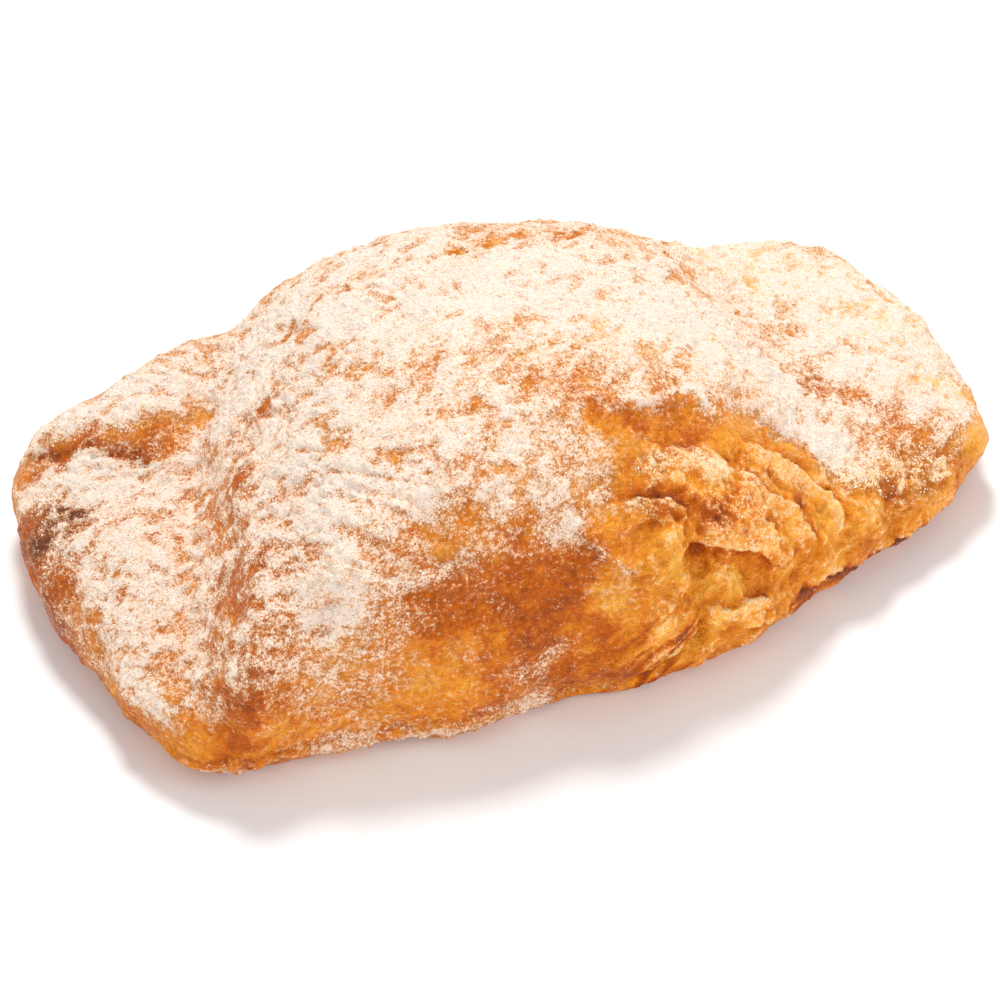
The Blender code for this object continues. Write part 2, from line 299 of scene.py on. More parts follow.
strayed = ragged - points
blisters = rolling(points, 11, BLISTERS)
swing = WRINKLE_TURN * ease(-48, -20, x)
turned = np.stack(
    (x * np.cos(swing) + y * np.sin(swing), y * np.cos(swing) - x * np.sin(swing), z), axis=1
)
wrinkles = lumps(turned + 0.4 * strayed, 1.5, 14, (2.8, 1.2, 1.2))
crumble = 1 - 2 * np.abs(lumps(points, 1.7, 15))
folded = np.stack([(points + 0.5 * strayed) @ np.array(axis) for axis in FOLD_AXES], axis=1)
folds = 1 - 2 * np.abs(lumps(folded, 2.6, 19, (3.2, 0.9, 2)))
grit = lumps(points, 0.95, 16)
slanted = np.stack((x + LAYER_RISE * z, y, z - LAYER_RISE * x), axis=1)
slanted = slanted / math.hypot(1, LAYER_RISE)
layers = lumps(slanted + 0.15 * strayed, 0.8, 17, (9, 3, 1))
unlayered = torn * (1 - layered)

relief += above_tray * blisters
relief += above_tray * WRINKLE_HEIGHT * wrinkles
crumble_height = CRUMBLE_HEIGHT + TORN_CRUMBLE_HEIGHT * unlayered * (1 - 0.6 * in_folds)
relief += above_tray * crumble_height * (crumble - 0.4)
relief += FOLD_HEIGHT * in_folds * (folds - 0.3)
gritty = (GRIT_HEIGHT + TORN_GRIT_HEIGHT * unlayered) * grit
gritty += DUST_HEIGHT * lumps(points, 0.6, 18)
relief += (0.3 + 0.7 * above_tray) * gritty
relief += LAYER_HEIGHT * layered * layers
relief += foot * rolling(points, 35, FOOT_WAVES)

# How far each place stands out from its surroundings, for the colours below.
crest = 1.1 * drawn + 0.6 * blisters + 0.5 * wrinkles + 0.5 * torn * crumble
crest = np.clip(crest + 0.8 * in_folds * (folds - 0.4) + 0.4 * grit, -1, 1)

# Strokes of the sieve, of wear, of the oven and of painted shade: how much, how wide, and along
# which line. Sugar is sieved on, comes off where the crust is bare, and clings in small heaps
# after all wear.
SIEVED = (
    ("dome top", 0.34, 11, ((-20, 10, 37), (-8, 8, 39), (8, 1.7, 38.5), (22, -3, 33))),
    ("groove", 0.6, 4.2,
     ((24.2, -7.3, 32.1), (30, -12, 27), (35.3, -14.5, 22), (33, -22, 22), (37, -26, 18.5))),
    ("back lobe", 0.4, 5.0, ((-60, 30, 18), (-44, 28.7, 21))),
    ("front lobe", 0.22, 6, ((-60, 20, 15), (-55.6, 12, 14.5), (-59, -2.7, 15.6))),
    ("brow of the front lobe", 0.34, 2.6,
     ((-63, 27, 13.5), (-56, 20.5, 16.2), (-49.5, 16.5, 15.8))),
    ("dome left", 0.12, 8, ((-35, -2, 33), (-38, -22, 32))),
    ("front left wall", 0.12, 7, ((-46, -30, 23), (-40, -31, 26))),
    ("low front left wall", 0.2, 5, ((-50, -32, 14), (-38, -35, 15))),
    ("dome middle", 0.2, 7, ((-25, -22, 37), (-12, -22, 37.5))),
    ("flap", 0.2, 15, ((50, 12, 17), (60, -8, 17))),
    ("flap's front", 0.16, 7, ((52, -28, 14), (44, -30, 13), (60, -26, 12))),
    ("back rim", 0.25, 5.0,
     ((-36, 16, 25.5), (-31, 22, 28), (-22, 25.5, 31.5), (-10, 25, 34.5), (-4, 23.5, 35.5))),
)
BARE = (
    ("caramel front", 0.88, 6.4,
     ((-29, -34.5, 25.5), (-25.1, -36.6, 23.6), (-13.5, -38.1, 22.2), (-20.9, -40.5, 13),
      (-10, -40, 12))),
    ("beside the caramel", 0.24, 4.0, ((-33, -36, 17), (-31, -38, 8))),
    ("bare patch", 1.0, 3.4,
     ((0.5, -23.5, 37.4), (6.2, -25.6, 34.9), (14.2, -26.3, 31.5), (18.6, -29, 28.5))),
    ("burst front", 0.97, 7.0, ((1.2, -38, 27), (15, -38, 21), (30, -36, 15), (36, -37, 9))),
    ("burst foot", 0.95, 6.0, ((-4, -43, 10), (17, -41, 10), (28, -39, 8))),
    ("wall by the flap", 0.8, 4.0, ((28, -39, 8), (38, -37, 7), (50, -35, 5))),
    ("folds", 0.7, 3.0, ((22, -27, 27), (31, -28.5, 19))),
    ("nose", 0.7, 3.2, ((58, -33, 8), (62, -29, 10.5), (66, -25, 9))),
    ("burnt rim", 0.55, 3.0, ((-69.4, 21, 9.7), (-70, 8, 9), (-70, -2, 7))),
    ("burnt spot", 0.84, 2.3, ((-66.8, 17.2, 12.4), (-65, 15.8, 13.4), (-63.2, 18, 13.8))),
    ("bulge", 0.55, 3.0, ((11, -38, 22.5), (16, -38.3, 21.6))),
    ("left rim", 0.6, 2.4, ((-71.2, 7.7, 9.5), (-69.5, 1, 10.4), (-68.6, -6, 10.5))),
    ("corner", 0.75, 3.6, ((-65, -28.5, 9.5), (-62.9, -31, 8.3), (-61.5, -31.5, 7.4))),
    ("corner spot", 0.6, 2.0, ((-59.5, -31.4, 15.6), (-58.7, -33.1, 12.9), (-59.6, -32.8, 10.2))),
    ("face of the back lobe", 0.62, 2.7,
     ((-66, 29, 12.5), (-61, 28, 16), (-55, 24.3, 18.2), (-48.3, 22.3, 18.6), (-45.5, 20.5, 17.8))),
    ("foot of the back lobe", 0.8, 0.8,
     ((-63.3, 31.1, 13.1), (-58.4, 24.9, 16.4), (-53.7, 22, 17.2), (-50.5, 19.5, 16))),
    ("gold by the back lobe", 0.75, 1.4, ((-38.8, 25.7, 19.5), (-39.9, 21.6, 18.2))),
    ("top tear", 1.0, 1.0, ((-1, 17.3, 38), (4, 18, 36.8), (10.3, 18.2, 35.3))),
    ("right top tear", 1.0, 0.7, ((15.9, 20.5, 33.2), (20.7, 18.3, 32.6))),
    ("crease gold", 0.6, 1.3, ((-53.1, 0.3, 16.4), (-55.3, -5.6, 15.5), (-56.4, -8.6, 14.7))),
    ("blister by the crease", 0.75, 2.0, ((-44.2, -0.9, 26.3), (-42.7, -1.6, 27.7))),
    ("low blister by the crease", 0.6, 1.8, ((-49, -3, 20.5), (-47.5, -7, 22.5))),
    ("shoulder spot", 0.6, 1.8, ((-52, -15.5, 22.3), (-49.7, -19.2, 26.2), (-46.8, -20.8, 27.7))),
    ("second shoulder spot", 0.6, 1.2,
     ((-54.8, -17, 19.9), (-53.4, -22.1, 23.5), (-49.4, -25.8, 25.3))),
    ("third shoulder spot", 0.55, 1.0, ((-55.2, -20.8, 21), (-53.4, -25.3, 23.6))),
    ("fourth shoulder spot", 0.5, 1.2,
     ((-58.1, -18.2, 15.9), (-57.6, -23, 18.9), (-56.1, -27.6, 21.2))),
    ("corner of the dome", 0.5, 1.7, ((-55.9, -30.2, 20.5), (-57.4, -31.6, 17.8))),
    ("shoulder's front", 0.5, 1.6, ((-53.2, -27.9, 23), (-51.4, -29.4, 22.5))),
    ("low corner", 0.5, 1.8, ((-60.3, -27.9, 15.8), (-59.6, -30.3, 15.8))),
    ("upper left strip", 0.6, 1.3,
     ((-20.1, 22.7, 34.3), (-18.5, 17.6, 36.7), (-16.3, 13.7, 38.6), (-14.4, 9.4, 39.7))),
    ("left spot", 0.6, 1.6, ((-27.4, 19.5, 31.5), (-27.8, 13.3, 34.3))),
    ("small left spot", 0.4, 1.4, ((-25.4, 9.9, 36.6), (-24.4, 5.3, 38.2))),
    ("slanting strip", 0.55, 1.4, ((-27.7, 8.5, 35.9), (-26.5, 1.2, 37.8), (-23.7, -5.8, 39.4))),
    ("brown spot on the slope", 0.65, 1.6, ((-37.6, 9.2, 27.8), (-35.8, 7, 29.6))),
    ("under it", 0.35, 1.2, ((-39, 8.7, 25.7), (-40, 6.5, 26.5))),
    ("slope strip", 0.4, 1.2, ((-33, 7.5, 32.3), (-32, 3, 33.6))),
    ("dome spot", 0.6, 1.6, ((-34.2, -6.6, 35.5), (-33.5, -12.2, 36.4))),
    ("dome crook", 0.4, 1.1, ((-10.4, 12.6, 39.4), (-9.5, 6.2, 40.5), (-10.4, 1.7, 40.9))),
    ("dome front strip", 0.55, 1.6, ((-7.4, -15, 39.8), (-2.7, -18.1, 39.2), (2.3, -17, 39.6))),
    ("second dome front strip", 0.6, 1.4,
     ((-14.8, -17.2, 39.4), (-12.6, -19, 38.9), (-7, -21.5, 38.2))),
    ("third dome front strip", 0.55, 1.5,
     ((-30.6, -17.9, 36.9), (-26.4, -21.8, 36.8), (-23.3, -24.5, 36.7), (-18.3, -25.4, 36.6),
      (-14, -27.3, 35.5))),
    ("brow of the caramel", 0.4, 1.4, ((-32, -28.5, 31), (-24, -29.5, 32.5), (-15, -31.5, 31.5))),
    ("flap's front", 0.28, 4.0, ((51, -28, 14.5), (46, -31, 13.5))),
    ("flap's near spot", 0.38, 2.6,
     ((44, -15.5, 18), (47.3, -18.1, 17), (49.2, -22, 16.3), (50.4, -25.6, 15.6))),
    ("flap's groove spot", 0.55, 1.6, ((40.3, -13.7, 19.5), (42.9, -15.1, 18.5))),
    ("flap's spot", 0.5, 1.2, ((40.5, -10.5, 19.8), (43.4, -11.5, 19.1))),
    ("flap's middle spot", 0.5, 1.3, ((45.7, -2.2, 18.5), (47.7, -1.7, 18.4))),
    ("flap's small spot", 0.5, 1.2, ((45.4, 3.6, 18.8), (45.4, 2.4, 18.8))),
    ("flap's far spot", 0.5, 1.4, ((47.8, 12.8, 17.8), (47.4, 10.1, 17.9))),
    ("flap's back", 0.3, 2.4, ((59.3, 11, 16.8), (54.5, 14.9, 16.2))),
    ("flap's right spot", 0.45, 1.1, ((51.5, -7.5, 18.3), (52.3, -8.2, 18.3))),
    ("flap's gold", 0.5, 1.2, ((57.8, -16.8, 16.8), (60.1, -17.5, 15.4))),
    ("flap's edge", 0.5, 1.8, ((66.6, -17.8, 12.1), (66, -21.5, 12))),
)
CLINGING = (
    ("flap", 0.12, 8, ((47.5, -16.3, 17.5), (52, 0, 18.3), (55, 12, 17))),
    ("top of the wall", 0.1, 5, ((-42.7, -32.4, 21.1), (-36, -33, 24))),
    ("below the folds", 0.12, 3.5, ((33, -37.6, 8.9), (44.7, -35.5, 8.1))),
    ("dome's gold", 0.08, 5, ((20.9, -13.6, 33.6), (14, -14, 36.5))),
    ("dome left", 0.08, 5, ((-32.4, -6.1, 36.2), (-34, -16, 34.5))),
    ("left rim", 0.22, 2.6, ((-71.9, 7.5, 8.1), (-70.5, 0, 8), (-69, -8, 7.5))),
    ("foot", 0.34, 1.3,
     ((-65.5, -28, 4.4), (-57.6, -32.4, 3), (-48.3, -33.1, 3.2), (-37.1, -35.4, 2.6),
      (-30.8, -38.5, 3.6), (-23.6, -39.7, 3.8), (-15.5, -39.3, 2.8))),
    ("low front", 0.3, 1.8, ((-21, -40.5, 13.3), (-16.9, -40.3, 13.2), (-14.4, -40.1, 12.8))),
    ("low front heap", 0.24, 2.2, ((-20.9, -40.5, 10.3), (-16.9, -40.3, 9.9))),
    ("low front foot", 0.14, 2.2, ((-23.6, -39.7, 6), (-18.8, -39.5, 6), (-16.4, -39.4, 6.5))),
    ("below the groove", 0.3, 2.8, ((37, -26, 18), (39.5, -30, 16), (42, -32, 14.5))),
    ("caramel brow", 0.36, 1.6, ((-32.2, -31.3, 28.2), (-28.6, -31.8, 28.3), (-25.4, -32.9, 28.3))),
    ("caramel heap", 0.1, 2.2, ((-24.3, -35.1, 26.3), (-22.4, -37.3, 23.6))),
    ("flake's edge", 0.42, 0.8,
     ((-8.7, -36.3, 27.9), (-7.3, -38.2, 26.1), (-5.9, -39.9, 24.1), (-4.4, -41, 22.4))),
    ("beside the flake", 0.26, 2.0, ((-12, -34, 29), (-9.5, -35.5, 28.5))),
    ("bright brow", 0.28, 1.8, ((-10.6, -32.6, 31.3), (-12.8, -30.9, 32.7))),
    ("edge of the scale", 0.3, 1.0, ((-4.8, -33.5, 31.4), (0.4, -35.5, 29.8), (3.1, -37.8, 27.4))),
    ("under the bare patch", 0.1, 1.6,
     ((5.1, -29.4, 32.6), (8.1, -29.9, 31.2), (11.8, -30.5, 29.8), (14.7, -31.7, 28.5))),
    ("specks on the bare patch", 0.12, 1.5, ((8.1, -25.2, 34.3), (14, -25.6, 32))),
    ("edge of the bare patch", 0.5, 1.0,
     ((0.1, -20.8, 38.6), (6, -22.3, 37.3), (9.8, -22.5, 35.8), (15.6, -22.4, 33.8),
      (19.1, -23.3, 31.9))),
)
# Above 0 the oven browned it more, and below 0 less. The strokes in the hollow under the bulge, in
# the valley behind the first fold and at the foot of the back lobe are painted shade, not browning.
TOASTED_AND_SHADED = (
    ("flap's back", -0.22, 9, ((44, 18, 18), (60, 10, 17), (62, -8, 16))),
    ("dome's gold", -0.16, 7, ((10, -8, 38), (24, -12, 32.5))),
    ("flap's gold edge", -0.15, 2.5, ((57.8, -16.8, 16.8), (66, -20, 12))),
    ("caramel front", 0.18, 6.5,
     ((-30, -34, 26), (-25.1, -36.6, 24.2), (-13.5, -38.1, 22.2), (-20.9, -40.5, 13),
      (-12, -40, 12))),
    ("caramel's gold", -0.06, 3.0, ((-33, -38, 12), (-29.4, -39, 11))),
    ("beside the layers", -0.1, 4.0, ((-5, -41.5, 20), (2, -40.5, 21))),
    ("bare patch", 0.1, 3.0, ((1, -24, 37), (6.2, -25.6, 34.9), (12, -26.3, 32))),
    ("above the bulge", 0.2, 2.4, ((2, -36.5, 29), (7, -37, 26.5), (11, -36.5, 25))),
    ("bulge", 0.14, 3.0, ((14, -37, 23), (17, -37, 21.5))),
    ("hollow under the bulge", 0.06, 1.4,
     ((6.8, -38.8, 21.4), (11.8, -40.1, 18), (15.2, -40, 17.3), (19.7, -40.6, 15.8))),
    ("valley behind the first fold", 0.12, 1.1,
     ((21.5, -31.8, 25), (24.5, -33, 22.3), (26, -34.5, 19.8))),
    ("pale layers", -0.05, 2.6, ((3, -43.2, 13), (-4, -43, 9), (-9, -41, 7))),
    ("round lobe", -0.1, 2.5, ((9.8, -42.6, 16.9), (12, -42.6, 15))),
    ("folds' ends", -0.1, 3.2, ((32.1, -32.9, 15.3), (33, -37.6, 8.9))),
    ("lip", -0.06, 2.0, ((9, -43.5, 11), (14, -43.5, 10))),
    ("burnt rim", 0.2, 3.4, ((-69.4, 21, 9.7), (-70, 10, 9), (-71, 4, 8))),
    ("burnt spot", 0.55, 2.3, ((-67.8, 15.6, 11.8), (-65.6, 15.8, 13.2), (-63.4, 17.6, 13.8))),
    ("burnt spot's foot", 0.12, 1.6, ((-69.7, 12.3, 10.9), (-67.7, 11.2, 11.9))),
    ("left rim", 0.08, 2.0, ((-71.2, 7.7, 9), (-69.5, -2, 7), (-68, -10, 6))),
    ("blister by the crease", 0.1, 2.0, ((-44.2, -0.9, 26.3), (-42.7, -1.6, 27.7))),
    ("shoulder", 0.13, 4.5, ((-52, -15.5, 22.3), (-49, -20, 26.5), (-53, -25, 23), (-57, -30, 18))),
    ("corner spot", 0.18, 1.8,
     ((-59.5, -31.4, 15.6), (-58.7, -33.1, 12.9), (-59.6, -32.8, 10.2), (-61.8, -31.7, 7.4))),
    ("left slope", 0.12, 5.0, ((-37, 9, 28), (-30, 16, 30))),
    ("flap's near side", 0.13, 3.4, ((43, -14.5, 18.5), (48.5, -19.5, 17))),
    ("flap's front", 0.06, 3.0, ((49.5, -27.1, 15.2), (52.3, -31.2, 12.4), (46, -31.5, 13))),
    ("nose", -0.1, 3.0, ((62, -28, 11), (66, -25, 9.5))),
    ("underside rim", 0.3, 1.5,
     ((24.4, -40.4, 5), (35.2, -37.7, 3), (42.2, -36.4, 2.5), (49.7, -34.9, 3), (58, -33, 3))),
    ("wall by the flap", 0.02, 3.5, ((38, -37.5, 9), (50, -34.5, 7.5))),
    ("sugared left side", 0.1, 14, ((-60, 10, 14), (-52, -15, 22))),
    ("front wall", 0.01, 7, ((-52, -33, 14), (-34, -37, 12))),
    ("face of the back lobe", 0.1, 3.2, ((-64, 29, 13.5), (-55, 24.3, 18.3), (-50, 22.5, 18.3))),
    ("foot of the back lobe", 0.16, 0.9,
     ((-63.3, 31.1, 13.1), (-58.4, 24.9, 16.4), (-53.7, 22, 17.2), (-50.5, 19.5, 16))),
    ("crease", -0.08, 2.0, ((-52.3, 0.4, 16.5), (-60.2, -16.9, 13.6))),
    ("gold by the back lobe", -0.12, 2.0, ((-38.8, 25.7, 19.5), (-39.9, 21.6, 18.2))),
)


STROKE_WANDER = ((2.2, 5.0), (1.0, 1.8))
loose = wander(points, 31, STROKE_WANDER)


def stroke(reach, line):
    """1 on the line, a half at reach from it, and soon nothing."""
    far, _, _ = beside(loose, normals, line)
    return 1 / (1 + (far / reach) ** 4)


def stroked(base, strokes):
    """The base with every stroke added to it."""
    for _, amount, reach, line in strokes:
        base = base + amount * stroke(reach, line)
    return base


# Sugar lies on what faces up and on the side away from the sieve's draught. It wears off in
# patches, and in level streaks where the skin is steep. Narrow bare lines break up.
NARROW = 2.5
patches = lumps(turned, 2.3, 27, (2.2, 1.1, 1)) + 0.6 * lumps(turned, 1.1, 28, (1.8, 1, 1))
streaks = lumps(points, 1.6, 29, (1.7, 1.7, 0.9))
streaks += 0.6 * lumps(points, 0.9, 30, (1.3, 1.3, 0.8))
patches += (streaks - patches) * ease(0.75, 0.4, upward)
leftward = -normals[:, 0]
flank = ease(0.3, 0.8, leftward) * ease(0.8, 0.5, upward)
lee = ease(0.1, 0.7, leftward) * ease(0.2, 0.6, upward)
broken = 0.25 + 0.75 * ease(-0.3, 0.2, lumps(points, 1.5, 34))

dusting = 0.16 + 0.44 * ease(-0.1, 0.95, upward) + 0.16 * lee + 0.12 * lumps(points, 6.0, 21)
dusting = np.minimum(stroked(dusting, SIEVED) - 0.16 * crest, 1)
for _, amount, reach, line in BARE:
    dusting *= 1 - amount * stroke(reach, line) * (broken if reach < NARROW else 1)
worn = ease(-0.3, 0.3, patches - 0.55 * dusting + 0.2)
dusting *= (1 - 0.47 * worn) * ease(-0.8, -0.2, upward)
dusting = stroked(dusting, CLINGING) * (1 - 0.55 * in_gap * torn)
dusting = np.clip(dusting + 0.36 * on_edge * torn * broken + 0.1 * foot, 0, 1)

toast = 0.5 + 0.10 * lumps(points, 8.0, 23) + 0.06 * lumps(points, 3.0, 24) + 0.06 * worn
# Painted light and shade on the torn layers: paler on their crests and along the ledges' edges, and
# darker in the gaps under the ledges.
toast += 0.10 * ease(0.2, -0.8, upward) + 0.34 * layered * layers - 0.08 * torn * crest
toast += 0.17 * in_gap * torn + 0.15 * in_gap * foot - 0.05 * on_edge * torn
toast = np.clip(stroked(toast, TOASTED_AND_SHADED), 0, 1)

# Thick sugar lies as a soft layer a few tenths of a millimetre deep, thrown into little heaps.
HEAP_HEIGHT = 0.6
heaps = 0.5 + 0.9 * lumps(points, 1.2, 25, (1.2, 1.2, 0.8)) + 0.5 * lumps(points, 0.7, 26)
relief += HEAP_HEIGHT * ease(0.3, 0.85, dusting) * np.maximum(0, heaps)

# A thin rim stays flat, so that its two sides don't push through each other.
relief *= 0.12 + 0.88 * ease(-0.85, -0.35, upward)
relief *= 1 - 0.75 * back_rim

lowest, highest = (np.array(corner) / MM for corner in cad_box)
moved = points + normals * relief[:, None]
moved = np.clip(moved, lowest + BOX_GAP * np.array((1, 1, 0)), highest - BOX_GAP)
crust.data.vertices.foreach_set("co", (moved * MM).astype(np.float32).ravel())
for name, values in (
    ("dusting", dusting),
    ("toast", toast),
    ("crest", 0.5 + 0.5 * crest),
    ("torn", torn),
    ("flank", flank),
):
    attribute = crust.data.attributes.new(name, "FLOAT", "POINT")
    attribute.data.foreach_set("value", values.astype(np.float32))
crust.data.update()

triangles = sum(len(face.vertices) - 2 for face in crust.data.polygons)
if triangles > SKIN_TRIANGLES:
    thinner = crust.modifiers.new("thin out", "DECIMATE")
    thinner.ratio = SKIN_TRIANGLES / triangles
    bake_modifiers(crust)
for face in crust.data.polygons:
    face.use_smooth = True


class Amount:
    """A number in a finish's node tree. Sums and products of amounts add Math nodes."""

    def __init__(self, finish, socket):
        self.finish = finish
        self.socket = socket

    def math(self, operation, *others):
        """Adds one Math node, fed with this amount and the others."""
        node = self.finish.node("Math", {"operation": operation})
        for socket, value in zip(node.inputs, (self, *others)):
            self.finish.feed(socket, value)
        return Amount(self.finish, node.outputs[0])

    def __add__(self, other):
        return self.math("ADD", other)

    def __sub__(self, other):
        return self.math("SUBTRACT", other)

    def __rsub__(self, other):
        return self * -1.0 + other

    def __mul__(self, other):
        return self.math("MULTIPLY", other)

    __radd__ = __add__
    __rmul__ = __mul__

    def eased(self, low, high):
        """0 below low, 1 above high, and a smooth step between."""
        node = self.finish.node(
            "MapRange",
            {"interpolation_type": "SMOOTHSTEP"},
            {"Value": self, "From Min": low, "From Max": high},
        )
        return Amount(self.finish, node.outputs["Result"])


class Finish:
    """One material. Every node but the Math ones comes from its node method."""

    def __init__(self, name):
        self.material = bpy.data.materials.new(name)
        self.material.use_nodes = True
        self.tree = self.material.node_tree
        self.tree.nodes.clear()

    def feed(self, socket, value):
        """Links an amount or a socket to this socket, or sets its value."""
        if isinstance(value, Amount):
            self.tree.links.new(value.socket, socket)
        elif isinstance(value, bpy.types.NodeSocket):
            self.tree.links.new(value, socket)
        else:
            socket.default_value = value

    def node(self, kind, settings=None, inputs=None):
        """A node of this kind, with its settings, and values or links for its sockets."""
        node = self.tree.nodes.new("ShaderNode" + kind)
        for name, value in (settings or {}).items():
            if name == "stops":
                ramp = node.color_ramp
                while len(ramp.elements) < len(value):
                    ramp.elements.new(1.0)
                for element, (place, shade) in zip(ramp.elements, value):
                    element.position = place
                    element.color = shade
            else:
                setattr(node, name, value)
        for name, value in (inputs or {}).items():
            self.feed(node.inputs[name], value)
        return node

    def attribute(self, name):
        """What the mesh's points hold under this name."""
        return Amount(self, self.node("Attribute", {"attribute_name": name}).outputs["Fac"])

    def place(self):
        return self.node("TexCoord").outputs["Object"]

    def speckle(self, size, detail=2.0, roughness=0.5, stretch=(1, 1, 1)):
        """Soft random grain of this size in millimetres, about 0.5 on average."""
        scale = [1 / longer for longer in stretch]
        where = self.node("Mapping", inputs={"Vector": self.place(), "Scale": scale})
        node = self.node(
            "TexNoise",
            inputs={
                "Vector": where.outputs[0],
                "Scale": 1 / (size * MM),
                "Detail": detail,
                "Roughness": roughness,
            },
        )
        return Amount(self, node.outputs["Fac"])

    def cells(self, size):
        """A random number for each angular crumb of about this size in millimetres."""
        node = self.node("TexVoronoi", inputs={"Vector": self.place(), "Scale": 1 / (size * MM)})
        return Amount(self, node.outputs["Color"])

    def blend(self, first, second, share):
        """Two colours mixed by a share of the second."""
        node = self.node("Mix", {"data_type": "RGBA"})
        self.feed(node.inputs[0], share)
        self.feed(node.inputs[6], first)
        self.feed(node.inputs[7], second)
        return node.outputs[2]

    def surface(self, settings, bump=None):
        """Ends the material in one shader. A bump is its height and how deep it is."""
        shader = self.node("BsdfPrincipled", inputs=settings)
        if bump:
            height, depth = bump
            lifted = self.node(
                "Bump", inputs={"Height": height, "Distance": depth * MM, "Strength": 1.0}
            )
            self.feed(shader.inputs["Normal"], lifted.outputs[0])
        self.node("OutputMaterial", inputs={"Surface": shader.outputs[0]})
        return self.material


def colour(red, green, blue):
    """A colour given as it looks on screen, 0 to 255, as the shader wants it."""
    return tuple((v / 255) ** 2.2 for v in (red, green, blue)) + (1.0,)


# The crust's colour from least to most toasted, and the colours of the sugar on it.
BAKED = (
    (0.10, colour(252, 204, 124)),
    (0.28, colour(250, 182, 84)),
    (0.42, colour(246, 164, 60)),
    (0.56, colour(231, 135, 37)),
    (0.70, colour(198, 96, 22)),
    (0.84, colour(158, 72, 30)),
    (1.00, colour(104, 56, 40)),
)
UNDER_SUGAR = colour(170, 94, 46)
THIN_SUGAR = colour(249, 198, 150)
THICK_SUGAR = colour(255, 237, 222)
SUGAR_ON_LAYERS = colour(255, 226, 176)
FILM = colour(247, 208, 166)
FILM_ON_LAYERS = colour(252, 200, 122)
LEVEL_ROWS = (1, 2.2, 0.8)
GRAIN_DEPTH = 0.4

finish = Finish("baked_crust")
dusted = finish.attribute("dusting")
toasted_and_shaded = finish.attribute("toast")
crested = finish.attribute("crest")
torn_up = finish.attribute("torn")
on_flank = finish.attribute("flank")

# Grain of every size, 0 on average. On the steep left side it lies in short level rows.
fine = finish.speckle(0.28, 1.0, 0.6)
fine = fine + (finish.speckle(0.24, 1.0, 0.6, LEVEL_ROWS) - fine) * on_flank - 0.5
grainy = finish.speckle(0.7, 1.0, 0.5, (1.1, 1.1, 0.9))
grainy = grainy + (finish.speckle(0.6, 1.0, 0.5, LEVEL_ROWS) - grainy) * on_flank - 0.5
middle = finish.speckle(1.6, 3.0, 0.6, (1.15, 1.15, 0.85)) - 0.5
broad = finish.speckle(4.5, 2.0, 0.5) - 0.5
crumb = finish.cells(0.22) - 0.5

tone = toasted_and_shaded + broad * 0.28 + middle * 0.30 + grainy * 0.16
baked = finish.node("ValToRGB", {"stops": BAKED}, {"Fac": tone}).outputs["Color"]
# Painted shade: besides its random grain, the crust's colour is made darker in hollows and lighter
# on crests.
shading = (fine * 1.1 + crumb * 0.34) * (1.0 - torn_up * 0.45)
shading = 1.0 + shading + (crested - 0.5) * 0.22
baked = finish.node("VectorMath", {"operation": "SCALE"}, {0: baked, "Scale": shading}).outputs[0]
browned = dusted.eased(0.05, 0.5) * toasted_and_shaded.eased(0.22, 0.5) * 0.66
baked = finish.blend(baked, UNDER_SUGAR, browned)

# Sugar shows as a soft film first, and as heaped grains where there is more than the grain
# of the place holds back. Torn edges catch it, and dark smooth crust sheds it.
amount = dusted * 1.18 - 0.14
amount = amount + torn_up * (crested - 0.72) * 1.4 - toasted_and_shaded.eased(0.5, 0.75) * 0.09
amount = amount + middle * (0.45 + dusted * 0.75) + broad * 0.45
sieve = crumb * 0.6 + fine * 1.9 + grainy * 1.4
heap = (amount - sieve).eased(0.08, 0.92)
film = (amount - sieve * 0.6).eased(-0.08, 0.8) * 0.68
sugar_tone = finish.blend(THIN_SUGAR, THICK_SUGAR, (dusted + middle).eased(0.0, 0.85))
sugar_tone = finish.blend(sugar_tone, SUGAR_ON_LAYERS, torn_up * 0.6)
film_tone = finish.blend(FILM, FILM_ON_LAYERS, torn_up)
powdered = finish.blend(baked, film_tone, film)
powdered = finish.blend(powdered, sugar_tone, heap)

height = fine + crumb * 0.35 + grainy + middle * 1.2 + heap * 0.5 + amount
crust.data.materials.clear()
crust.data.materials.append(
    finish.surface(
        {
            "Base Color": powdered,
            "Roughness": 0.42 + heap * 0.38 + film * 0.4,
            "Specular IOR Level": 0.22,
            "Specular Tint": (1.0, 0.62, 0.3, 1.0),
            "Coat Weight": (1.0 - heap) * 0.08,
            "Coat Roughness": 0.2,
            "Subsurface Weight": 0.08,
            "Subsurface Radius": (1.0, 0.45, 0.2),
            "Subsurface Scale": 0.001,
        },
        (height, GRAIN_DEPTH),
    )
)
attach(crust, "root")
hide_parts("pastry")

# ---------------------------------------------------------------------------------------------
# The icing sugar. Sieved over the warm pastry: most lies as a fine film, which is in the
# crust's own finish, and the rest as loose grains and little clots caught on the rough skin.
# ---------------------------------------------------------------------------------------------

FULL_TURN = 6.28


